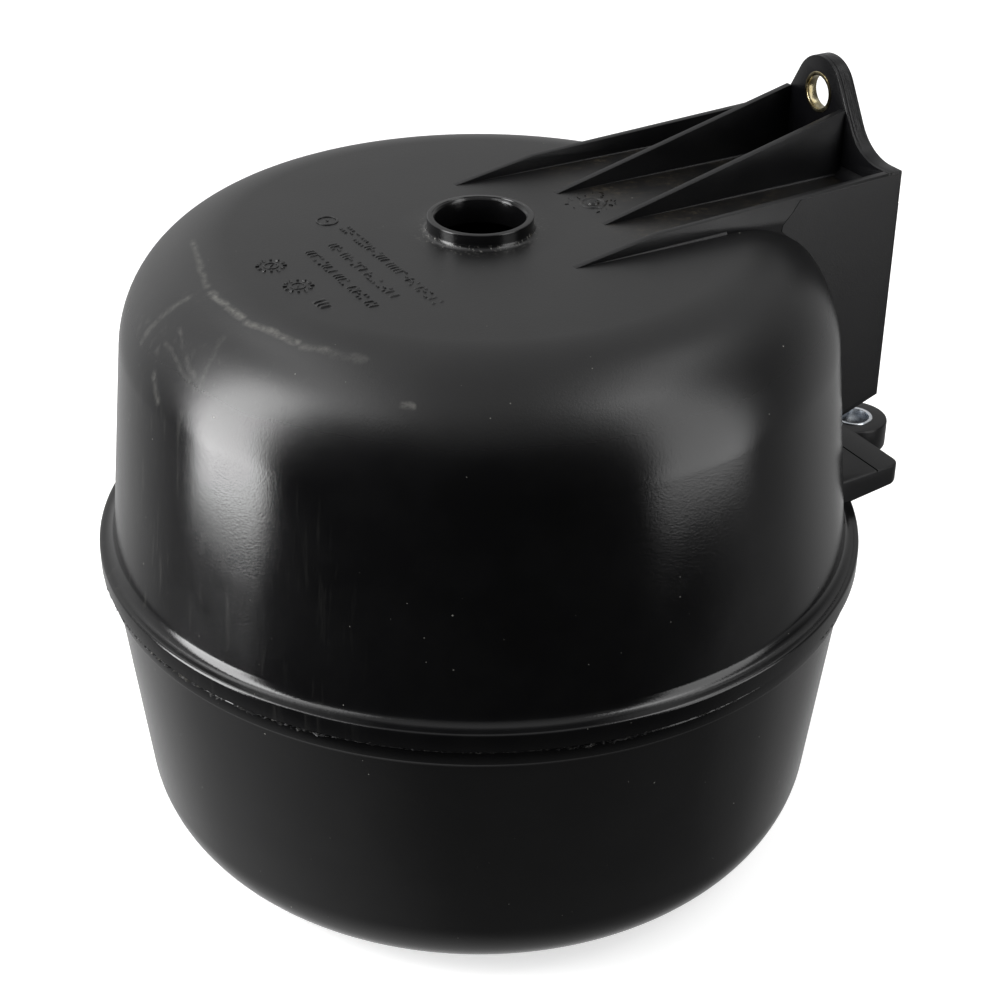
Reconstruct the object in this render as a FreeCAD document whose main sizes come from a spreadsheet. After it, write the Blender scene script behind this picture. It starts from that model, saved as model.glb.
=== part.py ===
import FreeCAD, Part
import os
import Sketcher

# Welded plastic fluid reservoir, in millimetres. Two moulded shells meet at a welded flange. The upper
# shell carries an open neck and a ribbed bracket. Two steel bushes take the fixing bolts.
# Z is the tank's axis and points up, the origin is the centre of the flat base, and X points to the bracket.

DRIVING = {
    # lower shell; widths count outwards from the tank radius
    "bowl_depth": 91.7, "bowl_step": 1.1, "bowl_draft": 5.9, "bowl_corner": 27.0,
    "lower_flange": 4.7, "lower_flange_width": 2.8,
    # weld seam
    "seam_height": 1.1, "seam_width": 3.3, "seam_inside": 1.4,
    # upper shell; the tank radius is the wall's outside at the flange
    "tank_radius": 115.4, "dome_height": 95.5, "dome_draft": 6.0, "dome_corner": 34.0, "wall": 4.0,
    "upper_flange": 6.0, "flange_width": 4.6, "flange_edge": 0.8, "foot_fillet": 3.2,
    # neck
    "neck_height": 4.6, "neck_bore": 13.4, "neck_wall": 2.5, "neck_fillet": 1.8, "neck_edge": 0.8,
    "bore_chamfer": 0.4,
    # bracket on top of the tank
    "bracket_reach": 11.6, "bracket_centre": -1.0, "plate_thickness": 5.5, "rib_thickness": 2.2,
    "outer_rib_spread": 36.0, "inner_rib_spread": 14.0, "outer_rib_tip": 10.0, "outer_rib_knee": 38.0,
    "knee_rise": 4.8, "outer_rib_rise": 8.0, "inner_rib_tip": 34.0, "inner_rib_rise": 21.0,
    "shelf_thickness": 2.6, "gusset_lift": 18.2, "gusset_slope": 19.0,
    # upper lug; its radius is the bush's and the lug's wall
    "lug_rise": 22.8, "lug_wall": 5.1, "lug_flank": 30.0, "flank_fillet": 17.0,
    "relief_radius": 9.0, "relief_depth": 2.3,
    # steel bushes
    "bush_bore": 5.25, "bush_wall": 1.25, "bush_chamfer": 0.4, "bush_stand": 0.3,
    # lower fixing plate
    "lower_plate_rise": 8.0, "lower_plate_depth": 10.0, "lower_plate_tip": 6.4, "lower_plate_reach": 53.6,
    "lower_plate_flare": 3.0, "lower_plate_corner": 4.0, "lower_lug_reach": 6.2, "lower_lug_offset": 20.5,
    "lower_lug_wall": 4.9, "lower_lug_depth": 9.3,
    # how far a cutting outline reaches past what it cuts
    "cut_margin": 1.0,
}

# sizes and places that follow from the driving sizes
FLANGE_RADIUS = "Sizes.tank_radius + Sizes.flange_width"
BOWL_RIM_RADIUS = "Sizes.tank_radius + Sizes.bowl_step"
LOWER_FLANGE_RADIUS = "Sizes.tank_radius + Sizes.lower_flange_width"
SEAM_RADIUS = "Sizes.tank_radius + Sizes.seam_width"
NECK_RADIUS = "Sizes.neck_bore + Sizes.neck_wall"
BUSH_RADIUS = "Sizes.bush_bore + Sizes.bush_wall"
LUG_RADIUS = f"({BUSH_RADIUS} + Sizes.lug_wall)"
LOWER_FLANGE_TOP = "Sizes.bowl_depth + Sizes.lower_flange"
UPPER_FLANGE_FOOT = f"{LOWER_FLANGE_TOP} + Sizes.seam_height"
FLANGE_TOP = f"{UPPER_FLANGE_FOOT} + Sizes.upper_flange"
TANK_TOP = f"{FLANGE_TOP} + Sizes.dome_height"
BRACKET_BACK = "Sizes.tank_radius + Sizes.bracket_reach"
PLATE_FRONT = f"{BRACKET_BACK} - Sizes.plate_thickness"
LUG_CENTRE = f"{TANK_TOP} + Sizes.lug_rise"
SHELF_FOOT = f"{TANK_TOP} - Sizes.shelf_thickness"
LOWER_PLATE_TOP = f"{FLANGE_TOP} + Sizes.lower_plate_rise"
LOWER_LUG_X = f"{BRACKET_BACK} + Sizes.lower_lug_reach"

# blanks start at these places inside the dome, which then trims them
RIB_ROOT = "Sizes.tank_radius / 2"
GUSSET_ROOT = "Sizes.tank_radius - Sizes.dome_corner"

doc = FreeCAD.newDocument("Reservoir")


def fill_sheet():
    sheet = doc.addObject("Spreadsheet::Sheet", "Sizes")
    for row, (alias, value) in enumerate(DRIVING.items(), start=1):
        sheet.set(f"A{row}", alias.replace("_", " "))
        sheet.set(f"B{row}", str(value))
        sheet.setAlias(f"B{row}", alias)
    doc.recompute()
    return sheet


def new_body(label):
    body = doc.addObject("PartDesign::Body", label)
    body.Label = label
    return body


def origin_plane(body, role):
    return next(plane for plane in body.Origin.OriginFeatures if plane.Role == role)


def new_sketch(body, name, role, offset=None):
    # a sketch on an origin plane of its own body, moved along the plane's normal by an expression
    sketch = body.newObject("Sketcher::SketchObject", name)
    sketch.AttachmentSupport = [(origin_plane(body, role), "")]
    sketch.MapMode = "FlatFace"
    if offset is not None:
        sketch.setExpression(".AttachmentOffset.Base.z", offset)
    doc.recompute()
    return sketch


def place_point(sketch, geometry, end, along, expression):
    # ties one coordinate of a point to an expression
    value = float(sketch.evalExpression(expression))
    kind = "DistanceX" if along == 0 else "DistanceY"
    if abs(value) < 1e-9:
        axis = -2 if along == 0 else -1
        sketch.addConstraint(Sketcher.Constraint("PointOnObject", geometry, end, axis))
        return
    if value > 0:
        index = sketch.addConstraint(Sketcher.Constraint(kind, -1, 1, geometry, end, value))
        sketch.setExpression(f"Constraints[{index}]", expression)
        return
    index = sketch.addConstraint(Sketcher.Constraint(kind, geometry, end, -1, 1, -value))
    sketch.setExpression(f"Constraints[{index}]", f"-({expression})")


def draw_outline(sketch, corners):
    # a closed outline of straight sides; each corner is a pair of expressions
    points = [FreeCAD.Vector(*(float(sketch.evalExpression(text)) for text in corner), 0)
              for corner in corners]
    count = len(points)
    for index in range(count):
        sketch.addGeometry(Part.LineSegment(points[index], points[(index + 1) % count]), False)
    for index in range(count):
        sketch.addConstraint(Sketcher.Constraint("Coincident", index, 2, (index + 1) % count, 1))
    for index, corner in enumerate(corners):
        for along in (0, 1):
            place_point(sketch, index, 1, along, corner[along])
    doc.recompute()


def draw_circle(sketch, across, upward, radius):
    centre = FreeCAD.Vector(float(sketch.evalExpression(across)), float(sketch.evalExpression(upward)), 0)
    size = float(sketch.evalExpression(radius))
    index = sketch.addGeometry(Part.Circle(centre, FreeCAD.Vector(0, 0, 1), size), False)
    place_point(sketch, index, 3, 0, across)
    place_point(sketch, index, 3, 1, upward)
    ring = sketch.addConstraint(Sketcher.Constraint("Radius", index, size))
    sketch.setExpression(f"Constraints[{ring}]", radius)
    doc.recompute()


def revolve(body, name, corners, kind="PartDesign::Revolution"):
    # turns an outline in the XZ plane round Z; kind is Revolution or Groove
    sketch = new_sketch(body, name + "_outline", "XZ_Plane")
    draw_outline(sketch, corners)
    turned = body.newObject(kind, name)
    turned.Profile = sketch
    turned.ReferenceAxis = (sketch, ["V_Axis"])
    turned.Angle = 360.0
    doc.recompute()
    return turned


def pad(body, name, sketch, length, midplane=False):
    made = body.newObject("PartDesign::Pad", name)
    made.Profile = sketch
    if midplane:
        made.SideType = "Symmetric"
    made.setExpression("Length", length)
    doc.recompute()
    return made


def pocket(body, name, sketch, depth=None):
    # cuts a sketch to a depth, or right through the solid both ways if no depth is given
    before = body.Shape.Volume
    cut = body.newObject("PartDesign::Pocket", name)
    cut.Profile = sketch
    if depth is None:
        cut.Type = "ThroughAll"
        cut.SideType = "Symmetric"
    else:
        cut.setExpression("Length", depth)
    doc.recompute()
    if not body.Shape.Volume < before:
        raise RuntimeError(f"{name} cuts nothing")
    return cut


def edges_where(feature, test):
    return [f"Edge{number}" for number, edge in enumerate(feature.Shape.Edges, start=1) if test(edge)]


def round_ring(radius, height):
    # picks full circles of a given radius and height, given as expressions
    def test(edge):
        if not isinstance(edge.Curve, Part.Circle) or len(edge.Vertexes) > 1:
            return False
        return (abs(edge.Curve.Radius - value_of(radius)) < 0.01
                and abs(edge.Curve.Center.z - value_of(height)) < 0.01)
    return test


def value_of(expression):
    return float(sizes.evalExpression(expression))


def fillet(body, name, base, test, radius):
    edge = body.newObject("PartDesign::Fillet", name)
    edge.Base = (base, edges_where(base, test))
    edge.setExpression("Radius", radius)
    doc.recompute()
    return edge


def chamfer(body, name, base, test, size):
    edge = body.newObject("PartDesign::Chamfer", name)
    edge.Base = (base, edges_where(base, test))
    edge.setExpression("Size", size)
    doc.recompute()
    return edge


def drafted(radius, draft, height):
    # radius of a drafted wall at a height from its wide end
    return f"{radius} - ({height}) * tan({draft} * 1deg)"


DOME_TOP_RADIUS = drafted("Sizes.tank_radius", "Sizes.dome_draft", "Sizes.dome_height")
BOWL_BASE_RADIUS = drafted(BOWL_RIM_RADIUS, "Sizes.bowl_draft", "Sizes.bowl_depth")


def dome_block(body):
    # the upper shell's outside with sharp corners
    return revolve(body, "dome", [
        ("0", UPPER_FLANGE_FOOT), (FLANGE_RADIUS, UPPER_FLANGE_FOOT),
        (FLANGE_RADIUS, FLANGE_TOP), ("Sizes.tank_radius", FLANGE_TOP),
        (DOME_TOP_RADIUS, TANK_TOP), ("0", TANK_TOP)])


def round_dome(body, base):
    corner = fillet(body, "dome_corner", base, round_ring(DOME_TOP_RADIUS, TANK_TOP), "Sizes.dome_corner")
    foot = round_ring("Sizes.tank_radius", FLANGE_TOP)
    return fillet(body, "dome_foot", corner, foot, "Sizes.foot_fillet")


def hollow(body, corners, corner_ring, corner_radius):
    # cuts the inside out and rounds its corner; the outside is rounded later, so nothing breaks through
    inside = revolve(body, "inside", corners, "PartDesign::Groove")
    return fillet(body, "inside_corner", inside, corner_ring, corner_radius)


def upper_shell():
    body = new_body("upper_shell")
    dome_block(body)
    inner_foot = drafted("(Sizes.tank_radius - Sizes.wall)", "Sizes.dome_draft", "-Sizes.upper_flange")
    inner_top = drafted("(Sizes.tank_radius - Sizes.wall)", "Sizes.dome_draft",
                        "Sizes.dome_height - Sizes.wall")
    ceiling = f"{TANK_TOP} - Sizes.wall"
    hollowed = hollow(body, [
        ("0", UPPER_FLANGE_FOOT), (inner_foot, UPPER_FLANGE_FOOT), (inner_top, ceiling), ("0", ceiling)],
        round_ring(inner_top, ceiling), "Sizes.dome_corner - Sizes.wall")
    round_dome(body, hollowed)
    neck_top = f"{TANK_TOP} + Sizes.neck_height"
    neck_sketch = new_sketch(body, "neck_ring", "XY_Plane", TANK_TOP)
    draw_circle(neck_sketch, "0", "0", NECK_RADIUS)
    neck = pad(body, "neck", neck_sketch, "Sizes.neck_height")
    base = fillet(body, "neck_base", neck, round_ring(NECK_RADIUS, TANK_TOP), "Sizes.neck_fillet")
    fillet(body, "neck_lip", base, round_ring(NECK_RADIUS, neck_top), "Sizes.neck_edge")
    bore_sketch = new_sketch(body, "bore_ring", "XY_Plane", neck_top)
    draw_circle(bore_sketch, "0", "0", "Sizes.neck_bore")
    bore = pocket(body, "bore", bore_sketch)
    edge = chamfer(body, "bore_edge", bore, round_ring("Sizes.neck_bore", neck_top), "Sizes.bore_chamfer")
    fillet(body, "rim_edge", edge, round_ring(FLANGE_RADIUS, FLANGE_TOP), "Sizes.flange_edge")
    return body


def lower_shell():
    body = new_body("lower_shell")
    revolve(body, "bowl", [
        ("0", "0"), (BOWL_BASE_RADIUS, "0"), (BOWL_RIM_RADIUS, "Sizes.bowl_depth"),
        (LOWER_FLANGE_RADIUS, "Sizes.bowl_depth"), (LOWER_FLANGE_RADIUS, LOWER_FLANGE_TOP),
        ("0", LOWER_FLANGE_TOP)])
    inner_rim = drafted(f"({BOWL_RIM_RADIUS} - Sizes.wall)", "Sizes.bowl_draft", "-Sizes.lower_flange")
    inner_base = drafted(f"({BOWL_RIM_RADIUS} - Sizes.wall)", "Sizes.bowl_draft",
                         "Sizes.bowl_depth - Sizes.wall")
    hollowed = hollow(body, [
        ("0", "Sizes.wall"), (inner_base, "Sizes.wall"), (inner_rim, LOWER_FLANGE_TOP),
        ("0", LOWER_FLANGE_TOP)], round_ring(inner_base, "Sizes.wall"), "Sizes.bowl_corner - Sizes.wall")
    fillet(body, "bowl_corner", hollowed, round_ring(BOWL_BASE_RADIUS, "0"), "Sizes.bowl_corner")
    return body


def weld_seam():
    # the melted joint between the two flanges, with a thin flash inside the tank
    body = new_body("weld_seam")
    inside = f"{BOWL_RIM_RADIUS} - Sizes.wall - Sizes.seam_inside"
    revolve(body, "seam", [
        (inside, LOWER_FLANGE_TOP), (SEAM_RADIUS, LOWER_FLANGE_TOP),
        (SEAM_RADIUS, UPPER_FLANGE_FOOT), (inside, UPPER_FLANGE_FOOT)])
    return body


def shell_envelope():
    # the upper shell's outside as a solid, which trims whatever is moulded onto it
    body = new_body("shell_envelope")
    round_dome(body, dome_block(body))
    return body


def trimmed(label, body, envelope):
    cut = doc.addObject("Part::Cut", label)
    cut.Label = label
    cut.Base = body
    cut.Tool = envelope
    doc.recompute()
    return cut


def upright_wall(name, corners, offset):
    # a rib or gusset: an outline in the XZ plane, padded to the rib thickness about its offset in Y
    body = new_body(name + "_blank")
    sketch = new_sketch(body, name + "_outline", "XZ_Plane", f"-({offset})")
    draw_outline(sketch, corners)
    pad(body, name + "_pad", sketch, "Sizes.rib_thickness", midplane=True)
    return body


def gusset_foot():
    # the sloping lower edge that all upright walls share, from the back to inside the dome
    back_height = f"{LOWER_PLATE_TOP} + Sizes.gusset_lift"
    run = f"({BRACKET_BACK} - ({GUSSET_ROOT}))"
    front_height = f"{back_height} - {run} * tan(Sizes.gusset_slope * 1deg)"
    return [(BRACKET_BACK, SHELF_FOOT), (BRACKET_BACK, back_height),
            (GUSSET_ROOT, front_height)]


def outer_rib(label, offset, envelope):
    corners = [("Sizes.outer_rib_tip", TANK_TOP), ("Sizes.outer_rib_tip", SHELF_FOOT),
               (RIB_ROOT, SHELF_FOOT)]
    corners += reversed(gusset_foot())
    corners += [(PLATE_FRONT, SHELF_FOOT), (PLATE_FRONT, f"{TANK_TOP} + Sizes.outer_rib_rise"),
                ("Sizes.outer_rib_knee", f"{TANK_TOP} + Sizes.knee_rise")]
    return trimmed(label, upright_wall(label, corners, offset), envelope)


def inner_rib(label, offset, envelope):
    corners = [("Sizes.inner_rib_tip", TANK_TOP), ("Sizes.inner_rib_tip", SHELF_FOOT),
               (RIB_ROOT, SHELF_FOOT)]
    corners += reversed(gusset_foot())
    corners += [(PLATE_FRONT, SHELF_FOOT), (PLATE_FRONT, f"{TANK_TOP} + Sizes.inner_rib_rise")]
    return trimmed(label, upright_wall(label, corners, offset), envelope)


def bracket_shelf(label, low_side, high_side, envelope):
    # a level web that carries the tank's top on to the plate, between two neighbouring walls
    body = new_body(label + "_blank")
    sketch = new_sketch(body, label + "_outline", "XY_Plane", SHELF_FOOT)
    near = f"{low_side} + Sizes.rib_thickness / 2"
    far = f"{high_side} - Sizes.rib_thickness / 2"
    draw_outline(sketch, [(RIB_ROOT, near), (PLATE_FRONT, near), (PLATE_FRONT, far), (RIB_ROOT, far)])
    pad(body, label + "_pad", sketch, "Sizes.shelf_thickness")
    return trimmed(label, body, envelope)


def mounting_plate():
    # upright plate across the back of the ribs; its lug rises to the upper bush between sloping flanks,
    # and the plate is relieved behind the bush
    body = new_body("mounting_plate")
    half_width = "Sizes.outer_rib_spread + Sizes.rib_thickness / 2"
    shoulder = f"{TANK_TOP} + Sizes.outer_rib_rise"
    flank_top = f"{LUG_CENTRE} + {LUG_RADIUS} * sin(Sizes.lug_flank * 1deg)"
    flank_half = f"{LUG_RADIUS} * cos(Sizes.lug_flank * 1deg)"
    foot_half = f"{flank_half} + ({flank_top} - ({shoulder})) * tan(Sizes.lug_flank * 1deg)"
    outline = [(half_width, SHELF_FOOT), (half_width, shoulder), (foot_half, shoulder),
               (flank_half, flank_top)]
    right_side = [(f"Sizes.bracket_centre - ({across})", upward) for across, upward in reversed(outline)]
    left_side = [(f"Sizes.bracket_centre + {across}", upward) for across, upward in outline]
    sketch = new_sketch(body, "plate_outline", "YZ_Plane", PLATE_FRONT)
    draw_outline(sketch, left_side + right_side)
    plate = pad(body, "plate", sketch, "Sizes.plate_thickness")

    def flank_corner(edge):
        middle = edge.CenterOfMass
        return (len(edge.Vertexes) == 2 and abs(middle.z - value_of(shoulder)) < 0.01
                and abs(abs(middle.y - value_of("Sizes.bracket_centre")) - value_of(foot_half)) < 0.01
                and abs(edge.Length - value_of("Sizes.plate_thickness")) < 0.01)

    fillet(body, "flanks", plate, flank_corner, "Sizes.flank_fillet")
    lug_sketch = new_sketch(body, "lug_ring", "YZ_Plane", PLATE_FRONT)
    draw_circle(lug_sketch, "Sizes.bracket_centre", LUG_CENTRE, LUG_RADIUS)
    pad(body, "lug", lug_sketch, "Sizes.plate_thickness")
    hole_sketch = new_sketch(body, "bush_seat", "YZ_Plane", PLATE_FRONT)
    draw_circle(hole_sketch, "Sizes.bracket_centre", LUG_CENTRE, BUSH_RADIUS)
    pocket(body, "bush_hole", hole_sketch)
    relief_sketch = new_sketch(body, "relief_ring", "YZ_Plane", BRACKET_BACK)
    draw_circle(relief_sketch, "Sizes.bracket_centre", LUG_CENTRE, "Sizes.relief_radius")
    pocket(body, "relief", relief_sketch, "Sizes.relief_depth")
    return body


def steel_bush(label, role, start, across, upward, length):
    body = new_body(label)
    outer = new_sketch(body, label + "_outside", role, start)
    draw_circle(outer, across, upward, BUSH_RADIUS)
    draw_circle(outer, across, upward, "Sizes.bush_bore")
    tube = pad(body, label + "_tube", outer, length)
    chamfer(body, label + "_ends", tube, lambda edge: isinstance(edge.Curve, Part.Circle)
            and abs(edge.Curve.Radius - value_of("Sizes.bush_bore")) < 0.01, "Sizes.bush_chamfer")
    return body


def lower_mount_plate(envelope):
    # level plate on the flange, thinner towards its tip, with a thicker lug for the lower bush
    body = new_body("lower_mount_plate_blank")
    foot = f"{LOWER_PLATE_TOP} - Sizes.lower_plate_depth"
    sketch = new_sketch(body, "lower_plate_outline", "XY_Plane", foot)
    root_half = "Sizes.lower_plate_reach + Sizes.lower_plate_flare"
    draw_outline(sketch, [
        (RIB_ROOT, f"-({root_half})"), (BRACKET_BACK, "-Sizes.lower_plate_reach"),
        (BRACKET_BACK, "Sizes.lower_plate_reach"), (RIB_ROOT, root_half)])
    plate = pad(body, "lower_plate", sketch, "Sizes.lower_plate_depth")

    def tip_corner(edge):
        middle = edge.CenterOfMass
        return (abs(edge.Length - value_of("Sizes.lower_plate_depth")) < 0.01
                and abs(middle.x - value_of(BRACKET_BACK)) < 0.01)

    fillet(body, "lower_plate_corners", plate, tip_corner, "Sizes.lower_plate_corner")
    slope = new_sketch(body, "underside_slope", "XZ_Plane")
    tip_foot = f"{LOWER_PLATE_TOP} - Sizes.lower_plate_tip"
    below = f"{foot} - Sizes.cut_margin"
    beyond = f"{BRACKET_BACK} + Sizes.cut_margin"
    draw_outline(slope, [
        (RIB_ROOT, below), ("Sizes.tank_radius - Sizes.foot_fillet", foot),
        (BRACKET_BACK, tip_foot), (beyond, tip_foot), (beyond, below)])
    pocket(body, "underside", slope)
    lug_foot = f"{LOWER_PLATE_TOP} - Sizes.lower_lug_depth"
    lug = new_sketch(body, "lower_lug_ring", "XY_Plane", lug_foot)
    draw_circle(lug, LOWER_LUG_X, "-Sizes.lower_lug_offset", f"{BUSH_RADIUS} + Sizes.lower_lug_wall")
    pad(body, "lower_lug", lug, "Sizes.lower_lug_depth")
    hole = new_sketch(body, "lower_bush_seat", "XY_Plane", lug_foot)
    draw_circle(hole, LOWER_LUG_X, "-Sizes.lower_lug_offset", BUSH_RADIUS)
    pocket(body, "lower_bush_hole", hole)
    return trimmed("lower_mount_plate", body, envelope)


def write_parts(parts):
    os.makedirs("parts", exist_ok=True)
    doc.recompute()
    for made in doc.Objects:
        if "Invalid" in made.State or "Error" in made.State:
            raise RuntimeError(f"{made.Name} did not build: {made.State}")
    for part in parts:
        if part.Shape.isNull() or not part.Shape.isValid():
            raise RuntimeError(f"{part.Label} has no valid shape")
        part.Shape.exportStep(f"parts/{part.Label}.step")
        print(part.Label, len(part.Shape.Solids), round(part.Shape.Volume))


sizes = fill_sheet()
envelope = shell_envelope()
outer_right = "Sizes.bracket_centre - Sizes.outer_rib_spread"
outer_left = "Sizes.bracket_centre + Sizes.outer_rib_spread"
inner_right = "-Sizes.inner_rib_spread"
inner_left = "Sizes.inner_rib_spread"
write_parts([
    lower_shell(),
    upper_shell(),
    weld_seam(),
    outer_rib("outer_rib_right", outer_right, envelope),
    outer_rib("outer_rib_left", outer_left, envelope),
    inner_rib("inner_rib_right", inner_right, envelope),
    inner_rib("inner_rib_left", inner_left, envelope),
    bracket_shelf("shelf_right", outer_right, inner_right, envelope),
    bracket_shelf("shelf_middle", inner_right, inner_left, envelope),
    bracket_shelf("shelf_left", inner_left, outer_left, envelope),
    mounting_plate(),
    steel_bush("upper_bush", "YZ_Plane", f"{PLATE_FRONT} - Sizes.bush_stand", "Sizes.bracket_centre",
               LUG_CENTRE, "Sizes.plate_thickness - Sizes.relief_depth + 2 * Sizes.bush_stand"),
    lower_mount_plate(envelope),
    steel_bush("lower_bush", "XY_Plane", f"{LOWER_PLATE_TOP} - Sizes.lower_lug_depth - Sizes.bush_stand",
               LOWER_LUG_X, "-Sizes.lower_lug_offset", "Sizes.lower_lug_depth + 2 * Sizes.bush_stand"),
])
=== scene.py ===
import bmesh
import bpy
import math
import random
from mathutils import Matrix, Vector


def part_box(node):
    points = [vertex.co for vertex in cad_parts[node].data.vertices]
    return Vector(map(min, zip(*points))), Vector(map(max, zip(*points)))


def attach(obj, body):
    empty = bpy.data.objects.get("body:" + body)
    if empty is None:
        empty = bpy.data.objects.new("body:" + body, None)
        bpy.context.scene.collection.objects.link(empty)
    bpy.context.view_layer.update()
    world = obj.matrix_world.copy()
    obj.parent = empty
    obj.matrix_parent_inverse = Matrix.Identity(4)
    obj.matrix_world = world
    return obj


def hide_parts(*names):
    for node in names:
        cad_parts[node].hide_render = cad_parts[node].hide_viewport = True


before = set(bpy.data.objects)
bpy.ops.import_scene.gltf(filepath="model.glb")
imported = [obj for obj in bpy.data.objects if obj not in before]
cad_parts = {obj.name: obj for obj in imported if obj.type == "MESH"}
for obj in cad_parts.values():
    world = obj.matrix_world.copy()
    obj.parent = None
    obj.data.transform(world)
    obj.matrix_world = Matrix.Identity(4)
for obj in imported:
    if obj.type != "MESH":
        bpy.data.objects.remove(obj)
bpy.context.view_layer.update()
mm = 0.001
rng = random.Random(7)

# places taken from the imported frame, in millimetres
def cadRange(node, axis):
    low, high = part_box(node)
    return low[axis] / mm, high[axis] / mm


flangeFoot, neckTop = cadRange("upper_shell", 2)
lowerFlangeTop = cadRange("lower_shell", 2)[1]
flangeRadius = cadRange("upper_shell", 1)[1] - 0.01
plateFront, plateBack = cadRange("mounting_plate", 0)
plateRight, plateLeft = cadRange("mounting_plate", 1)
shelfFoot, tankTop = cadRange("shelf_middle", 2)
gussetFoot = cadRange("outer_rib_right", 2)[0]
print("frame loaded, tank top at", round(tankTop, 2))


def deselectAll():
    if bpy.context.object and bpy.context.object.mode != "OBJECT":
        bpy.ops.object.mode_set(mode="OBJECT")
    bpy.ops.object.select_all(action="DESELECT")


def activate(piece):
    deselectAll()
    piece.select_set(True)
    bpy.context.view_layer.objects.active = piece


def applyModifiers(piece):
    activate(piece)
    for modifier in list(piece.modifiers):
        bpy.ops.object.modifier_apply(modifier=modifier.name)


def roundEdges(piece, width, segments=3, angle=30):
    bevel = piece.modifiers.new("edges", "BEVEL")
    bevel.width = width * mm
    bevel.segments = segments
    bevel.limit_method = "ANGLE"
    bevel.angle_limit = math.radians(angle)
    bevel.harden_normals = False
    applyModifiers(piece)


def finishPiece(piece, name, material, slotName, *nodes):
    # freezes the place into the mesh, smooths it, and ties the piece to the frame
    piece.name = name
    piece.data.name = name
    activate(piece)
    bpy.ops.object.transform_apply(location=True, rotation=True, scale=True)
    bpy.ops.object.shade_smooth_by_angle(angle=math.radians(32))
    piece.data.materials.clear()
    piece.data.materials.append(material)
    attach(piece, "root")
    if nodes:
        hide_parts(*nodes)
    return piece


def joinPieces(pieces):
    deselectAll()
    for piece in pieces:
        piece.select_set(True)
    bpy.context.view_layer.objects.active = pieces[0]
    bpy.ops.object.join()
    return pieces[0]


def arc(centre, radius, start, end, steps):
    # points of a round corner in the outline's plane, angles in degrees
    points = []
    for step in range(steps + 1):
        angle = math.radians(start + (end - start) * step / steps)
        points.append((centre[0] + radius * math.cos(angle), centre[1] + radius * math.sin(angle)))
    return points


def turnedPiece(name, outline, segments):
    # a ring extruded along an outline of (radius, height) points and closed on itself
    deselectAll()
    radius, height = outline[0]
    bpy.ops.mesh.primitive_circle_add(vertices=segments, radius=radius * mm, location=(0, 0, 0),
                                      enter_editmode=True)
    piece = bpy.context.object
    bpy.ops.transform.translate(value=(0, 0, height * mm))
    for nextRadius, nextHeight in outline[1:] + outline[:1]:
        bpy.ops.mesh.extrude_region_move()
        factor = nextRadius / radius
        bpy.ops.transform.resize(value=(factor, factor, 1), center_override=(0, 0, height * mm))
        bpy.ops.transform.translate(value=(0, 0, (nextHeight - height) * mm))
        radius, height = nextRadius, nextHeight
    bpy.ops.mesh.select_all(action="SELECT")
    bpy.ops.mesh.remove_doubles(threshold=0.00001)
    bpy.ops.mesh.normals_make_consistent(inside=False)
    bpy.ops.object.mode_set(mode="OBJECT")
    piece.name = name
    return piece


def tracedPlate(name, outline, place, thickness):
    # an outline traced point by point in its own plane, filled and extruded to its thickness
    deselectAll()
    bpy.ops.mesh.primitive_plane_add(size=mm, location=(0, 0, 0), enter_editmode=True)
    piece = bpy.context.object
    bpy.ops.mesh.merge(type="CENTER")
    first = Vector((outline[0][0], outline[0][1], 0)) * mm
    bpy.ops.transform.translate(value=first)
    last = first
    for across, upward in outline[1:]:
        point = Vector((across, upward, 0)) * mm
        bpy.ops.mesh.extrude_region_move(TRANSFORM_OT_translate={"value": point - last})
        last = point
    bpy.ops.mesh.select_all(action="SELECT")
    bpy.ops.mesh.edge_face_add()
    bpy.ops.mesh.extrude_region_move(TRANSFORM_OT_translate={"value": (0, 0, thickness * mm)})
    bpy.ops.mesh.select_all(action="SELECT")
    bpy.ops.mesh.remove_doubles(threshold=0.000001)
    bpy.ops.mesh.normals_make_consistent(inside=False)
    bpy.ops.object.mode_set(mode="OBJECT")
    piece.matrix_world = place
    activate(piece)
    bpy.ops.object.transform_apply(location=True, rotation=True, scale=True)
    piece.name = name
    return piece


# the plane of a wall that stands in X and Z at a given Y: outline X to world X, outline Y to world Z
def uprightPlace(side):
    return Matrix.Translation((0, side * mm, 0)) @ Matrix.Rotation(math.radians(90), 4, "X")


# the plane of the mounting plate: outline X to world Y, outline Y to world Z, extruded towards +X
def crossPlace(front):
    turn = Matrix(((0, 0, 1, 0), (1, 0, 0, 0), (0, 1, 0, 0), (0, 0, 0, 1)))
    return Matrix.Translation((front * mm, 0, 0)) @ turn


def newMaterial(name):
    material = bpy.data.materials.new(name)
    material.use_nodes = True
    nodes = material.node_tree.nodes
    nodes.clear()
    output = nodes.new("ShaderNodeOutputMaterial")
    shader = nodes.new("ShaderNodeBsdfPrincipled")
    material.node_tree.links.new(shader.outputs[0], output.inputs[0])
    return material, nodes, material.node_tree.links, shader


def objectCoordinates(nodes, links, scale=(1, 1, 1)):
    coordinates = nodes.new("ShaderNodeTexCoord")
    mapping = nodes.new("ShaderNodeMapping")
    mapping.inputs["Scale"].default_value = scale
    links.new(coordinates.outputs["Object"], mapping.inputs["Vector"])
    return mapping.outputs["Vector"]


def noise(nodes, links, vector, scale, detail=2.0, rough=0.5):
    texture = nodes.new("ShaderNodeTexNoise")
    texture.inputs["Scale"].default_value = scale
    texture.inputs["Detail"].default_value = detail
    texture.inputs["Roughness"].default_value = rough
    links.new(vector, texture.inputs["Vector"])
    return texture.outputs["Fac"]


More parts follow.
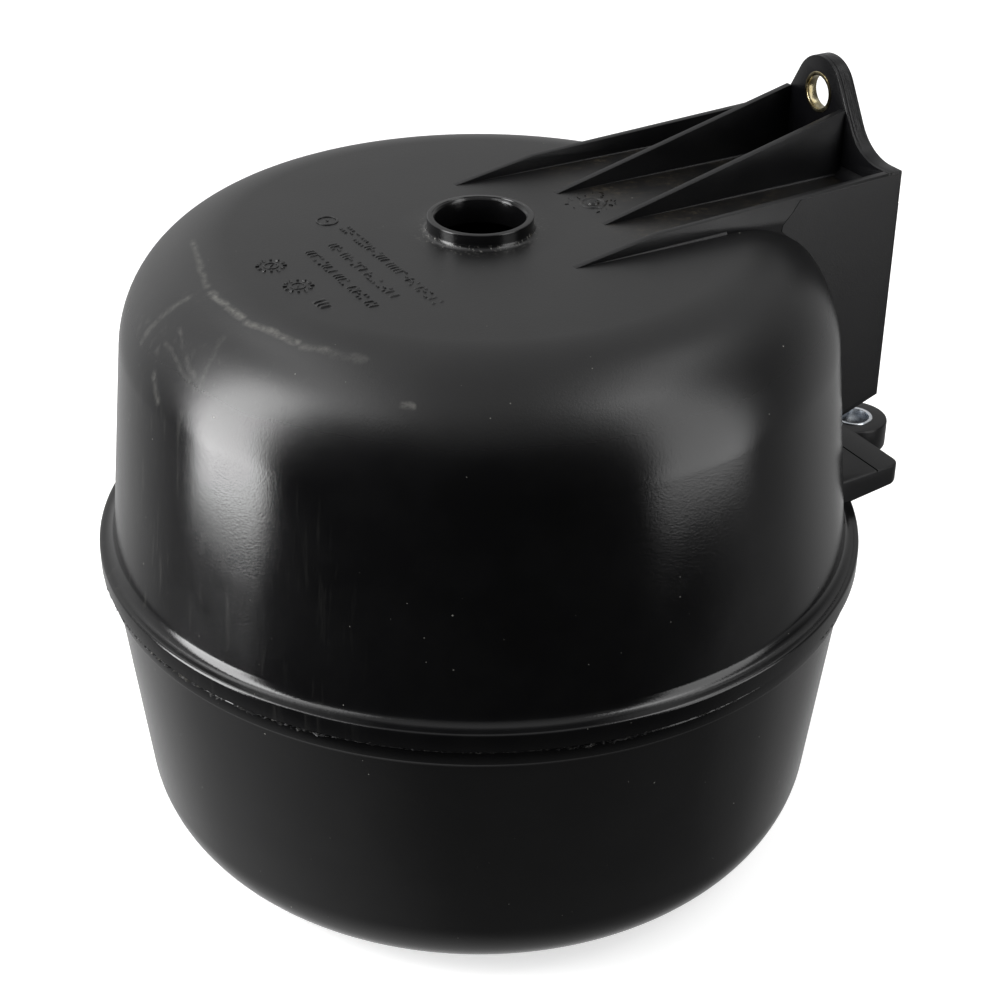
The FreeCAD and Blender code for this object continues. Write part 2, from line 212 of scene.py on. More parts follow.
def remap(nodes, links, value, low, high, toLow=0.0, toHigh=1.0):
    node = nodes.new("ShaderNodeMapRange")
    node.inputs["From Min"].default_value = low
    node.inputs["From Max"].default_value = high
    node.inputs["To Min"].default_value = toLow
    node.inputs["To Max"].default_value = toHigh
    links.new(value, node.inputs["Value"])
    return node.outputs["Result"]


def combine(nodes, links, operation, first, second):
    node = nodes.new("ShaderNodeMath")
    node.operation = operation
    node.use_clamp = True
    for socket, value in zip(node.inputs, (first, second)):
        if isinstance(value, (int, float)):
            socket.default_value = value
        else:
            links.new(value, socket)
    return node.outputs[0]


def blend(nodes, links, factor, first, second):
    node = nodes.new("ShaderNodeMix")
    node.data_type = "RGBA"
    links.new(factor, node.inputs["Factor"])
    for socket, value in zip((node.inputs["A"], node.inputs["B"]), (first, second)):
        if isinstance(value, tuple):
            socket.default_value = (*value, 1)
        else:
            links.new(value, socket)
    return node.outputs["Result"]


def bump(nodes, links, height, strength, distance, under=None):
    node = nodes.new("ShaderNodeBump")
    node.inputs["Strength"].default_value = strength
    node.inputs["Distance"].default_value = distance
    links.new(height, node.inputs["Height"])
    if under is not None:
        links.new(under, node.inputs["Normal"])
    return node.outputs["Normal"]


shellFinish = {
    "black": (0.0028, 0.0028, 0.0031), "worn": (0.0055, 0.0055, 0.0058),
    "dust": (0.30, 0.295, 0.27), "grit": (0.046, 0.038, 0.026),
    "wallRough": (0.12, 0.17), "topRough": 0.36, "neckRough": 0.15, "ior": 1.5,
    "grain": 1500, "grainBump": (0.5, 0.00007), "wave": 34, "waveBump": (0.12, 0.0006),
    "dulledByDust": 0.5,
    # scale, size, chance and strength of the specks
    "specks": ((150, 0.045, 0.86, 0.8), (330, 0.07, 0.90, 0.5)),
}


def strokeMask(nodes, links, place, start, end, width):
    # mask of a rubbed line between two points, in millimetres, with soft sides
    first, last = Vector(start) * mm, Vector(end) * mm
    along = last - first
    offset = nodes.new("ShaderNodeVectorMath")
    offset.operation = "SUBTRACT"
    offset.inputs[1].default_value = first
    links.new(place, offset.inputs[0])
    share = nodes.new("ShaderNodeVectorMath")
    share.operation = "DOT_PRODUCT"
    share.inputs[1].default_value = along / along.length_squared
    links.new(offset.outputs[0], share.inputs[0])
    held = combine(nodes, links, "ADD", share.outputs["Value"], 0.0)  # only to clamp it between the ends
    reached = nodes.new("ShaderNodeVectorMath")
    reached.operation = "SCALE"
    reached.inputs[0].default_value = along
    links.new(held, reached.inputs["Scale"])
    gap = nodes.new("ShaderNodeVectorMath")
    gap.operation = "DISTANCE"
    links.new(offset.outputs[0], gap.inputs[0])
    links.new(reached.outputs[0], gap.inputs[1])
    return remap(nodes, links, gap.outputs["Value"], width * mm * 1.3, 0.0)


rubLook = {"wobbleScale": 240, "wobble": 0.0026, "strength": 0.36, "breakup": 420}

# rub marks on the shoulder: start, end, half width, strength
rubMarks = [
    ((-77, 36, 198), (-85.5, 4, 197.5), 1.1, 0.55),
    ((-86, 0, 197.3), (-84.4, -19, 197), 1.3, 1.0),
    ((-84.3, -21.5, 197), (-77.5, -39.5, 197), 1.2, 0.9),
    ((-77, -42, 197), (-72.6, -47.6, 197), 1.4, 0.7),
    ((-71.5, -50, 196.5), (-66, -57, 196.5), 1.5, 0.35),
    ((-104, 10, 182), (-98.8, 8, 188.7), 1.3, 0.35),
    ((-98.8, 8, 188.7), (-91, 4.8, 194.8), 1.4, 0.4),
    ((-100.5, -3, 186.5), (-101.5, -21, 183), 0.9, 0.3),
    ((-97, -4, 190), (-101, -24, 183.6), 0.9, 0.25),
    ((-101, -26, 183), (-91, -21, 193.2), 1.2, 0.22),
    ((-106.4, -5, 178), (-107.2, -10, 173), 1.5, 0.35),
    ((-63.5, -73.5, 190.5), (-61.5, -75.5, 190.4), 0.9, 0.7),
]


def rubbed(nodes, links, place):
    # all rub marks together, their lines made unsteady and broken up
    wobble = nodes.new("ShaderNodeTexNoise")
    wobble.inputs["Scale"].default_value = rubLook["wobbleScale"]
    wobble.inputs["Detail"].default_value = 3
    links.new(place, wobble.inputs["Vector"])
    shift = nodes.new("ShaderNodeVectorMath")
    shift.operation = "MULTIPLY_ADD"
    shift.inputs[1].default_value = [rubLook["wobble"]] * 3
    shift.inputs[2].default_value = [-rubLook["wobble"] / 2] * 3
    links.new(wobble.outputs["Color"], shift.inputs[0])
    moved = nodes.new("ShaderNodeVectorMath")
    moved.operation = "ADD"
    links.new(place, moved.inputs[0])
    links.new(shift.outputs[0], moved.inputs[1])
    total = None
    for start, end, width, strength in rubMarks:
        mask = strokeMask(nodes, links, moved.outputs[0], start, end, width)
        mask = combine(nodes, links, "MULTIPLY", mask, strength * rubLook["strength"])
        total = mask if total is None else combine(nodes, links, "MAXIMUM", total, mask)
    breakup = noise(nodes, links, place, rubLook["breakup"], 4, 0.7)
    breakup = remap(nodes, links, breakup, 0.36, 0.60, 0.1, 1.0)
    return combine(nodes, links, "MULTIPLY", total, breakup)


def shellMaterial(name, worn):
    material, nodes, links, shader = newMaterial(name)
    finish = shellFinish
    place = objectCoordinates(nodes, links)
    split = nodes.new("ShaderNodeSeparateXYZ")
    links.new(place, split.inputs[0])
    grain = noise(nodes, links, place, finish["grain"], 3, 0.65)
    cloud = noise(nodes, links, place, 28, 4, 0.6)
    wave = noise(nodes, links, place, finish["wave"], 2, 0.4)
    patches = remap(nodes, links, cloud, 0.42, 0.72)
    colour = blend(nodes, links, patches, finish["black"], finish["worn"])
    rough = remap(nodes, links, cloud, 0.35, 0.7, *finish["wallRough"])
    # the flat top is duller than the walls
    topMask = remap(nodes, links, split.outputs["Z"], (tankTop - 30) * mm, (tankTop - 8) * mm)
    roughMix = nodes.new("ShaderNodeMix")
    roughMix.inputs["B"].default_value = finish["topRough"]
    links.new(topMask, roughMix.inputs["Factor"])
    links.new(rough, roughMix.inputs["A"])
    rough = roughMix.outputs["Result"]
    # scattered dust: few large specks and many fine ones
    marks = None
    for scale, size, chance, strength in finish["specks"]:
        voronoi = nodes.new("ShaderNodeTexVoronoi")
        voronoi.inputs["Scale"].default_value = scale
        links.new(place, voronoi.inputs["Vector"])
        dots = remap(nodes, links, voronoi.outputs["Distance"], size, size * 0.6)
        channels = nodes.new("ShaderNodeSeparateColor")
        links.new(voronoi.outputs["Color"], channels.inputs[0])
        lucky = remap(nodes, links, channels.outputs[0], chance, chance + 0.02, 0.0, strength)
        layer = combine(nodes, links, "MULTIPLY", dots, lucky)
        marks = layer if marks is None else combine(nodes, links, "MAXIMUM", marks, layer)
    if worn:
        marks = combine(nodes, links, "MAXIMUM", marks, rubbed(nodes, links, place))
        # long upright rub streaks on the side turned away from the bracket
        streakPlace = objectCoordinates(nodes, links, (1, 1, 0.03))
        streak = noise(nodes, links, streakPlace, 420, 3, 0.6)
        drag = remap(nodes, links, streak, 0.58, 0.78, 0.0, 0.05)
        onSide = remap(nodes, links, split.outputs["X"], -0.075, -0.1)
        drag = combine(nodes, links, "MULTIPLY", drag, onSide)
        marks = combine(nodes, links, "MAXIMUM", marks, drag)
        # dust gathered round the neck's foot
        flat = nodes.new("ShaderNodeVectorMath")
        flat.operation = "MULTIPLY"
        flat.inputs[1].default_value = (1, 1, 0)
        links.new(place, flat.inputs[0])
        length = nodes.new("ShaderNodeVectorMath")
        length.operation = "LENGTH"
        links.new(flat.outputs[0], length.inputs[0])
        nearNeck = remap(nodes, links, length.outputs["Value"], 0.0215, 0.0165)
        crumbs = remap(nodes, links, noise(nodes, links, place, 900, 3, 0.7), 0.57, 0.70, 0.0, 0.6)
        crumbs = combine(nodes, links, "MULTIPLY", crumbs, nearNeck)
        lowDown = remap(nodes, links, split.outputs["Z"], (tankTop + 1.7) * mm, (tankTop + 0.7) * mm)
        crumbs = combine(nodes, links, "MULTIPLY", crumbs, lowDown)
        outsideNeck = remap(nodes, links, length.outputs["Value"], 0.0146, 0.0156)
        crumbs = combine(nodes, links, "MULTIPLY", crumbs, outsideNeck)
        # the neck is smoother than the top around it
        onNeck = remap(nodes, links, length.outputs["Value"], 0.0166, 0.0160)
        neckMix = nodes.new("ShaderNodeMix")
        neckMix.inputs["B"].default_value = finish["neckRough"]
        links.new(onNeck, neckMix.inputs["Factor"])
        links.new(rough, neckMix.inputs["A"])
        rough = neckMix.outputs["Result"]
        marks = combine(nodes, links, "MAXIMUM", marks, crumbs)
        # brownish grit left in the bays between the ribs
        bay = remap(nodes, links, split.outputs["X"], 0.028, 0.05)
        side = nodes.new("ShaderNodeMath")
        side.operation = "ABSOLUTE"
        links.new(split.outputs["Y"], side.inputs[0])
        bay = combine(nodes, links, "MULTIPLY", bay, remap(nodes, links, side.outputs[0], 0.038, 0.034))
        grit = remap(nodes, links, noise(nodes, links, place, 620, 4, 0.7), 0.50, 0.66, 0.12, 0.9)
        pooled = remap(nodes, links, noise(nodes, links, place, 60, 3, 0.6), 0.40, 0.62)
        grit = combine(nodes, links, "MULTIPLY", grit, pooled)
        grit = combine(nodes, links, "MULTIPLY", grit, bay)
        colour = blend(nodes, links, grit, colour, finish["grit"])
    colour = blend(nodes, links, marks, colour, finish["dust"])
    links.new(colour, shader.inputs["Base Color"])
    dulled = combine(nodes, links, "MULTIPLY", marks, finish["dulledByDust"])
    rough = combine(nodes, links, "ADD", rough, dulled)
    links.new(rough, shader.inputs["Roughness"])
    shader.inputs["IOR"].default_value = finish["ior"]
    normal = bump(nodes, links, grain, *finish["grainBump"])
    normal = bump(nodes, links, wave, *finish["waveBump"], normal)
    links.new(normal, shader.inputs["Normal"])
    return material


bracketFinish = {
    "black": (0.0028, 0.0028, 0.0034), "worn": (0.0055, 0.0055, 0.0062), "ior": 1.4,
    "rough": (0.34, 0.44), "lugRough": (0.19, 0.25), "grain": 1900, "grainBump": (0.5, 0.0001),
    "toolLines": 2600, "lineBump": (0.7, 0.00035),
}


def bracketMaterial(name, striped):
    material, nodes, links, shader = newMaterial(name)
    finish = bracketFinish
    place = objectCoordinates(nodes, links)
    cloud = noise(nodes, links, place, 45, 4, 0.6)
    grain = noise(nodes, links, place, finish["grain"], 2, 0.6)
    patches = remap(nodes, links, cloud, 0.40, 0.72)
    colour = blend(nodes, links, patches, finish["black"], finish["worn"])
    links.new(colour, shader.inputs["Base Color"])
    dull = finish["lugRough"] if striped else finish["rough"]
    links.new(remap(nodes, links, cloud, 0.3, 0.7, *dull), shader.inputs["Roughness"])
    shader.inputs["IOR"].default_value = finish["ior"]
    normal = bump(nodes, links, grain, *finish["grainBump"])
    if striped:
        # fine tool lines that run round the rim, side by side across the thickness
        across = objectCoordinates(nodes, links, (1, 0.01, 0.01))
        lines = noise(nodes, links, across, finish["toolLines"], 2, 0.6)
        normal = bump(nodes, links, lines, *finish["lineBump"], normal)
    links.new(normal, shader.inputs["Normal"])
    return material


flashFinish = {"dark": (0.010, 0.010, 0.011), "torn": (0.16, 0.155, 0.14), "rough": (0.35, 0.7)}


def flashMaterial():
    material, nodes, links, shader = newMaterial("weldPlastic")
    place = objectCoordinates(nodes, links)
    cloud = noise(nodes, links, place, 500, 4, 0.7)
    torn = remap(nodes, links, cloud, 0.5, 0.75)
    colour = blend(nodes, links, torn, flashFinish["dark"], flashFinish["torn"])
    links.new(colour, shader.inputs["Base Color"])
    links.new(remap(nodes, links, cloud, 0.3, 0.7, *flashFinish["rough"]), shader.inputs["Roughness"])
    links.new(bump(nodes, links, cloud, 0.6, 0.0004), shader.inputs["Normal"])
    return material


def metalMaterial(name, low, high, roughness):
    material, nodes, links, shader = newMaterial(name)
    place = objectCoordinates(nodes, links)
    cloud = noise(nodes, links, place, 260, 4, 0.6)
    fine = noise(nodes, links, place, 2500, 3, 0.6)
    colour = blend(nodes, links, remap(nodes, links, cloud, 0.35, 0.65), low, high)
    links.new(colour, shader.inputs["Base Color"])
    shader.inputs["Metallic"].default_value = 1.0
    links.new(remap(nodes, links, cloud, 0.3, 0.7, *roughness), shader.inputs["Roughness"])
    links.new(bump(nodes, links, fine, 0.25, 0.00005), shader.inputs["Normal"])
    return material


domePlastic = shellMaterial("domePlastic", True)
bowlPlastic = shellMaterial("bowlPlastic", False)
bracketPlastic = bracketMaterial("bracketPlastic", False)
lugPlastic = bracketMaterial("lugPlastic", True)
weldPlastic = flashMaterial()
# dark and light colour of the plating, then its roughness
yellowZinc = metalMaterial("yellowZinc", (0.24, 0.19, 0.09), (0.52, 0.47, 0.32), (0.16, 0.28))
brightZinc = metalMaterial("brightZinc", (0.62, 0.66, 0.72), (0.82, 0.84, 0.86), (0.16, 0.30))
print("materials ready")

dome = {
    "height": 95.5, "footRadius": 115.4, "draft": 6.0, "corner": 34.0, "wall": 4.0,
    "footFillet": 3.2, "rimRound": 0.8,
    "neckBore": 13.4, "neckRadius": 15.9, "neckFillet": 1.7, "neckRound": 0.35,
    "segments": 224, "cornerSteps": 26,
}


def wallRadius(height):
    # outside radius of the drafted wall at a height
    slope = math.tan(math.radians(dome["draft"]))
    return dome["footRadius"] - (height - flangeTop) * slope


flangeTop = tankTop - dome["height"]
cornerHeight = tankTop - dome["corner"]


def cornerCentre():
    # centre radius of the shoulder arc, which meets the flat top and the drafted wall
    lean = math.radians(dome["draft"])
    radius = dome["corner"]
    touchHeight = cornerHeight + radius * math.sin(lean)
    return wallRadius(touchHeight) - radius * math.cos(lean)


def domeSurface(height):
    # outside radius of the dome at a height, shoulder included
    lean = math.radians(dome["draft"])
    touchHeight = cornerHeight + dome["corner"] * math.sin(lean)
    if height <= touchHeight:
        return wallRadius(height)
    rise = min(height - cornerHeight, dome["corner"])
    return cornerCentre() + math.sqrt(dome["corner"] ** 2 - rise ** 2)


def domeOutline():
    size = dome
    lean = size["draft"]
    slope = math.tan(math.radians(lean))
    rim = size["rimRound"]
    outline = [(flangeRadius - 0.5, flangeFoot), (flangeRadius, flangeFoot + 0.5)]
    outline += arc((flangeRadius - rim, flangeTop - rim), rim, 0, 90, 4)
    # foot fillet between the flange and the leaning wall
    fillet = size["footFillet"]
    turn = 90 - lean
    reach = fillet * math.tan(math.radians(turn / 2))
    start = (size["footRadius"] + reach, flangeTop)
    outline += arc((start[0], flangeTop + fillet), fillet, -90, -90 - turn, 8)
    centre = cornerCentre()
    outline += [(wallRadius(height), height) for height in (130, 150)]
    outline += arc((centre, cornerHeight), size["corner"], lean, 90, size["cornerSteps"])
    outline += [(60, tankTop), (40, tankTop), (26, tankTop)]
    outline += arc((size["neckRadius"] + size["neckFillet"], tankTop + size["neckFillet"]),
                   size["neckFillet"], -90, -180, 6)
    lip = size["neckRound"]
    outline += arc((size["neckRadius"] - lip, neckTop - lip), lip, 0, 90, 4)
    # a fine step near the rim's inner edge, then a small chamfer into the bore
    outline += [(size["neckBore"] + 1.05, neckTop), (size["neckBore"] + 0.95, neckTop - 0.18)]
    outline += [(size["neckBore"] + 0.55, neckTop - 0.2), (size["neckBore"] + 0.1, neckTop - 0.7)]
    outline += [(size["neckBore"], neckTop - 0.9)]
    ceiling = tankTop - size["wall"]
    outline += [(size["neckBore"], ceiling + 0.6), (size["neckBore"] + 0.6, ceiling), (40, ceiling)]
    inner = size["corner"] - size["wall"]
    innerCentre = (wallRadius(ceiling - inner + inner * math.sin(math.radians(lean))) - size["wall"]
                   - inner * math.cos(math.radians(lean)))
    outline += arc((innerCentre, ceiling - inner), inner, 90, lean, 14)
    outline += [(size["footRadius"] - size["wall"] + (flangeTop - flangeFoot) * slope, flangeFoot)]
    return outline


domeShell = turnedPiece("domeShell", domeOutline(), dome["segments"])
finishPiece(domeShell, "domeShell", domePlastic, "black_plastic", "upper_shell")
print("dome ready")

bowl = {
    "rimRadius": 116.5, "draft": 5.9, "corner": 27.0, "wall": 4.0, "flange": 4.7, "flangeRadius": 118.2,
    "segments": 224,
}


def bowlOutline():
    size = bowl
    slope = math.tan(math.radians(size["draft"]))
    foot = lowerFlangeTop - size["flange"]
    lean = math.radians(size["draft"])
    corner = size["corner"]

    def radiusAt(height, inset):
        return size["rimRadius"] - inset - (foot - height) * slope

    touch = corner - corner * math.sin(lean)
    centre = radiusAt(touch, 0) - corner * math.cos(lean)
    outline = [(1.2, 0.0), (30, 0.0), (60, 0.0)]
    outline += arc((centre, corner), corner, -90, -size["draft"], 22)
    outline += [(radiusAt(height, 0), height) for height in (45, 65, 80, foot - 2.4, foot - 1.8)]
    outline += [(radiusAt(foot - 1.2, 0), foot - 1.2), (size["rimRadius"] + 0.5, foot - 0.15)]
    outline += arc((size["flangeRadius"] - 0.6, foot + 0.6), 0.6, -90, 0, 4)
    outline += arc((size["flangeRadius"] - 0.7, lowerFlangeTop - 0.7), 0.7, 0, 90, 4)
    outline += [(radiusAt(lowerFlangeTop, size["wall"]), lowerFlangeTop)]
    inner = corner - size["wall"]
    innerTouch = size["wall"] + inner - inner * math.sin(lean)
    innerCentre = radiusAt(innerTouch, size["wall"]) - inner * math.cos(lean)
    outline += arc((innerCentre, size["wall"] + inner), inner, -size["draft"], -90, 14)
    outline += [(40, size["wall"]), (1.2, size["wall"])]
    return outline


bowlShell = turnedPiece("bowlShell", bowlOutline(), bowl["segments"])


def plugCentre(piece, radius):
    # the narrow hole on the axis is closed by merging each end ring to a point
    activate(piece)
    bpy.ops.object.mode_set(mode="EDIT")
    mesh = bmesh.from_edit_mesh(piece.data)
    for height in (0.0, bowl["wall"] * mm):
        ring = [vertex for vertex in mesh.verts
                if vertex.co.xy.length < radius * mm and abs(vertex.co.z - height) < 1e-5]
        bmesh.ops.pointmerge(mesh, verts=ring, merge_co=Vector((0, 0, height)))
    bmesh.ops.remove_doubles(mesh, verts=mesh.verts, dist=1e-6)
    bmesh.update_edit_mesh(piece.data)
    bpy.ops.object.mode_set(mode="OBJECT")


plugCentre(bowlShell, 2.0)
finishPiece(bowlShell, "bowlShell", bowlPlastic, "black_plastic", "lower_shell")
print("bowl ready")

seam = {
    "inside": 111.1, "outside": 117.6, "reach": 119.85, "swell": 2.6, "fray": 0.5, "lift": 0.7,
    "segments": 720,
}


def weldFlash():
    # a thin ring between the flanges whose outer edge is squeezed out unevenly
    size = seam
    low, high = lowerFlangeTop, flangeFoot
    middle = (low + high) / 2
    outline = [(size["inside"], low + 0.05), (size["outside"] - 1.5, low), (size["outside"], low + 0.05)]
    outline += arc((size["outside"] + 0.35, middle), 0.5, -80, 80, 6)
    outline += [(size["outside"], high - 0.05), (size["outside"] - 1.5, high), (size["inside"], high - 0.05)]
    piece = turnedPiece("weldFlash", outline, size["segments"])
    for vertex in piece.data.vertices:
        radius = vertex.co.xy.length
        if radius < size["outside"] * mm:
            continue
        angle = math.atan2(vertex.co.y, vertex.co.x)
        swell = (0.5 + 0.5 * math.sin(angle * 7 + 1.3)) * (0.5 + 0.5 * math.sin(angle * 17 + 0.4))
        rough = rng.random() ** 3
        swell += 0.7 * max(-math.cos(angle), 0) ** 6  # most of it is on the side away from the bracket
        grow = min(size["swell"] * swell * rough + size["fray"] * rough, size["reach"] - radius / mm)
        factor = 1 + max(grow, 0) * mm / radius
        vertex.co.x *= factor
        vertex.co.y *= factor
        vertex.co.z += (rng.random() - 0.5) * size["lift"] * mm * rough
    return finishPiece(piece, "weldFlash", weldPlastic, "weld_plastic", "weld_seam")


weldFlash()
print("seam ready")

rib = {
    "thickness": 2.2, "edge": 0.45, "outerTip": 10.0, "knee": 38.0, "kneeRise": 4.8, "outerRise": 8.0,
    "innerTip": 34.0, "innerRise": 21.0, "sink": 0.25, "gussetSlope": 19.0, "backHeight": 129.7,
}


def ribOutline(side, top):
    # top edge, back, sloping foot, then back up along the dome and over its shoulder to the tip
    reach = abs(side) + rib["thickness"] / 2

    def onDome(height):
        radius = domeSurface(height) - rib["sink"]
        return math.sqrt(radius ** 2 - reach ** 2)

    slope = math.tan(math.radians(rib["gussetSlope"]))
    outline = list(top)
    outline += [(plateFront, tankTop - 2.6), (plateBack, tankTop - 2.6), (plateBack, rib["backHeight"])]
    footX = onDome(rib["backHeight"] - 5)
    footHeight = rib["backHeight"] - (plateBack - footX) * slope
    heights = [footHeight + (cornerHeight + 3 - footHeight) * step / 6 for step in range(7)]
    heights += [cornerHeight + dome["corner"] * math.sin(math.radians(angle)) for angle in range(10, 86, 4)]
    outline += [(onDome(height), height) for height in heights]
    outline += [(onDome(tankTop - 0.02) - 6, tankTop - rib["sink"]), (top[0][0], tankTop - rib["sink"])]
    return outline


def makeRib(name, side, top, node):
    place = uprightPlace(side + rib["thickness"] / 2)
    piece = tracedPlate(name, ribOutline(side, top), place, rib["thickness"])
    roundEdges(piece, rib["edge"], 2, 25)
    return finishPiece(piece, name, bracketPlastic, "bracket_plastic", node)


outerTop = [(rib["outerTip"], tankTop + 0.05), (rib["knee"], tankTop + rib["kneeRise"]),
            (plateFront, tankTop + rib["outerRise"])]
innerTop = [(rib["innerTip"], tankTop + 0.05), (plateFront, tankTop + rib["innerRise"])]
sides = {
    "outerRibRight": plateRight + rib["thickness"] / 2, "outerRibLeft": plateLeft - rib["thickness"] / 2,
    "innerRibRight": sum(cadRange("inner_rib_right", 1)) / 2,
    "innerRibLeft": sum(cadRange("inner_rib_left", 1)) / 2,
}
makeRib("outerRibRight", sides["outerRibRight"], outerTop, "outer_rib_right")
makeRib("outerRibLeft", sides["outerRibLeft"], outerTop, "outer_rib_left")
makeRib("innerRibRight", sides["innerRibRight"], innerTop, "inner_rib_right")
makeRib("innerRibLeft", sides["innerRibLeft"], innerTop, "inner_rib_left")
print("ribs ready")


shelf = {"start": 62.0, "right": -36.2, "left": 34.2, "intoPlate": 0.5, "belowTop": 0.01}


def makeShelf():
    # level web from inside the dome's shoulder out to the plate
    size = shelf
    end = plateFront + size["intoPlate"]
    outline = [(size["start"], size["right"]), (end, size["right"]), (end, size["left"]),
               (size["start"], size["left"])]
    foot = Matrix.Translation((0, 0, shelfFoot * mm))
    piece = tracedPlate("shelf", outline, foot, tankTop - shelfFoot - size["belowTop"])
    return finishPiece(piece, "shelf", domePlastic, "bracket_plastic",
                       "shelf_right", "shelf_middle", "shelf_left")


makeShelf()

lug = {
    "radius": 11.6, "flank": 30.0, "fillet": 17.0, "line": 0.3, "parting": 1.25, "shoulder": 8.0,
    "hole": 6.5, "rise": 22.8, "reliefRadius": 9.0, "reliefDepth": 2.3,
}
lugSide = (plateLeft + plateRight) / 2
lugHeight = tankTop + lug["rise"]


def lugOutline():
    # half outline from the foot over the shoulder and flank to the round lug, then mirrored
    lean = lug["flank"]
    radius = lug["radius"]
    halfWidth = (plateLeft - plateRight) / 2
    shoulder = tankTop + lug["shoulder"]
    touch = (radius * math.cos(math.radians(lean)), lugHeight + radius * math.sin(math.radians(lean)))
    cornerX = touch[0] + (touch[1] - shoulder) * math.tan(math.radians(lean))
    fillet = lug["fillet"]
    reach = fillet * math.tan(math.radians((90 - lean) / 2))
    half = [(halfWidth, shelfFoot), (halfWidth, shoulder)]
    half += arc((cornerX + reach, shoulder + fillet), fillet, -90, -90 - (90 - lean), 12)
    half += arc((0, lugHeight), radius, lean, 90, 14)
    other = [(-across, upward) for across, upward in reversed(half[:-1])]
    return [(lugSide + across, upward) for across, upward in half + other]


def cutAway(piece, cutter):
    # takes one solid out of a piece and removes it
    cut = piece.modifiers.new("cut", "BOOLEAN")
    cut.operation = "DIFFERENCE"
    cut.solver = "EXACT"
    cut.object = cutter
    applyModifiers(piece)
    bpy.data.objects.remove(cutter)


def drillHole(piece, centre, axis, radius, depth):
    deselectAll()
    bpy.ops.mesh.primitive_cylinder_add(vertices=96, radius=radius * mm, depth=depth * mm,
                                        location=[value * mm for value in centre], rotation=axis)
    cutAway(piece, bpy.context.object)


def makeLugPlate():
    # two slabs that meet in a fine parting line just behind the front edge
    split = plateFront + lug["parting"]
    middle = ((plateFront + plateBack) / 2, lugSide, lugHeight)
    slabs = []
    for front, back in ((split - 0.02, plateBack), (plateFront, split)):
        slab = tracedPlate("lugPlate", lugOutline(), crossPlace(front), back - front)
        roundEdges(slab, lug["line"], 2, 35)
        drillHole(slab, middle, (0, math.radians(90), 0), lug["hole"], 20)
        slabs.append(slab)
    reliefMiddle = (plateBack - lug["reliefDepth"] + 5, lugSide, lugHeight)
    drillHole(slabs[0], reliefMiddle, (0, math.radians(90), 0), lug["reliefRadius"], 10)
    print("lug slabs hold", [len(slab.data.polygons) for slab in slabs], "faces")
    return finishPiece(joinPieces(slabs), "lugPlate", lugPlastic, "bracket_plastic", "mounting_plate")


makeLugPlate()
print("lug plate ready")

lowerPlate = {
    "rise": 8.0, "depth": 10.0, "tip": 6.4, "reach": 53.6, "flare": 3.0, "corner": 4.0, "lugOut": 6.2,
    "lugSide": -20.5, "lugRadius": 11.39, "lugDepth": 9.3, "hole": 6.5, "edge": 0.6, "rootX": 92.0,
    "flareStart": 57.7, "slopeStart": 112, "grooveX": 117.0, "grooveWidth": 0.55,
}


def makeLowerPlate():
    size = lowerPlate
    top = flangeTop + size["rise"]
    reach = size["reach"]
    lugX = plateBack + size["lugOut"]
    half = math.sqrt(size["lugRadius"] ** 2 - size["lugOut"] ** 2)
    foot = top - size["depth"]
    tipX = plateBack
    corner = size["corner"]
    rootX = size["rootX"]
    rootHalf = reach + size["flare"] * (tipX - rootX) / (tipX - size["flareStart"])
    outline = [(rootX, -rootHalf)]
    outline += arc((tipX - corner, -reach + corner), corner, -85, 0, 6)
    outline += arc((lugX, size["lugSide"]), size["lugRadius"],
                   -180 + math.degrees(math.atan2(half, size["lugOut"])),
                   180 - math.degrees(math.atan2(half, size["lugOut"])), 24)
    outline += arc((tipX - corner, reach - corner), corner, 0, 85, 6)
    outline += [(rootX, rootHalf)]
    piece = tracedPlate("lowerPlate", outline, Matrix.Translation((0, 0, foot * mm)), size["depth"])
    # the underside slopes up towards the tip, while the lug keeps its own depth
    for vertex in piece.data.vertices:
        if vertex.co.z < (foot + 0.1) * mm:
            across = vertex.co.x / mm
            besideLug = abs(vertex.co.y / mm - size["lugSide"]) < half + 0.1
            if across > tipX + 0.01 or (across > tipX - 3 and besideLug):
                vertex.co.z = (top - size["lugDepth"]) * mm
            else:
                share = min(max((across - size["slopeStart"]) / (tipX - size["slopeStart"]), 0), 1)
                vertex.co.z = (foot + share * (size["depth"] - size["tip"])) * mm
    roundEdges(piece, size["edge"], 3, 30)
    drillHole(piece, (lugX, size["lugSide"], top - 4), (0, 0, 0), size["hole"], 30)
    # a narrow groove across the top, parallel to the tip
    deselectAll()
    bpy.ops.mesh.primitive_cube_add(size=mm, location=(size["grooveX"] * mm, 0, top * mm))
    cutter = bpy.context.object
    bpy.ops.transform.resize(value=(size["grooveWidth"], 150, 1.0))
    cutAway(piece, cutter)
    # room for the flange and the wall, which the plate enters by a fraction of a millimetre
    drillHole(piece, (0, 0, flangeTop - 20), (0, 0, 0), flangeRadius - 0.3, 40)
    drillHole(piece, (0, 0, flangeTop), (0, 0, 0), dome["footRadius"] - 1.2, 60)
    return finishPiece(piece, "lowerPlate", bracketPlastic, "bracket_plastic", "lower_mount_plate")


makeLowerPlate()
print("lower plate ready")

sleeve = {"bore": 5.25, "radius": 6.5, "chamfer": 0.4, "segments": 96}


def sleeveOutline(length):
    size = sleeve
    edge = size["chamfer"]
    return [(size["bore"] + edge, 0), (size["radius"] - 0.15, 0), (size["radius"], 0.15),
            (size["radius"], length - 0.15), (size["radius"] - 0.15, length), (size["bore"] + edge, length),
            (size["bore"] + 0.12, length - 0.12), (size["bore"], length - edge), (size["bore"], edge),
            (size["bore"] + 0.12, 0.12)]


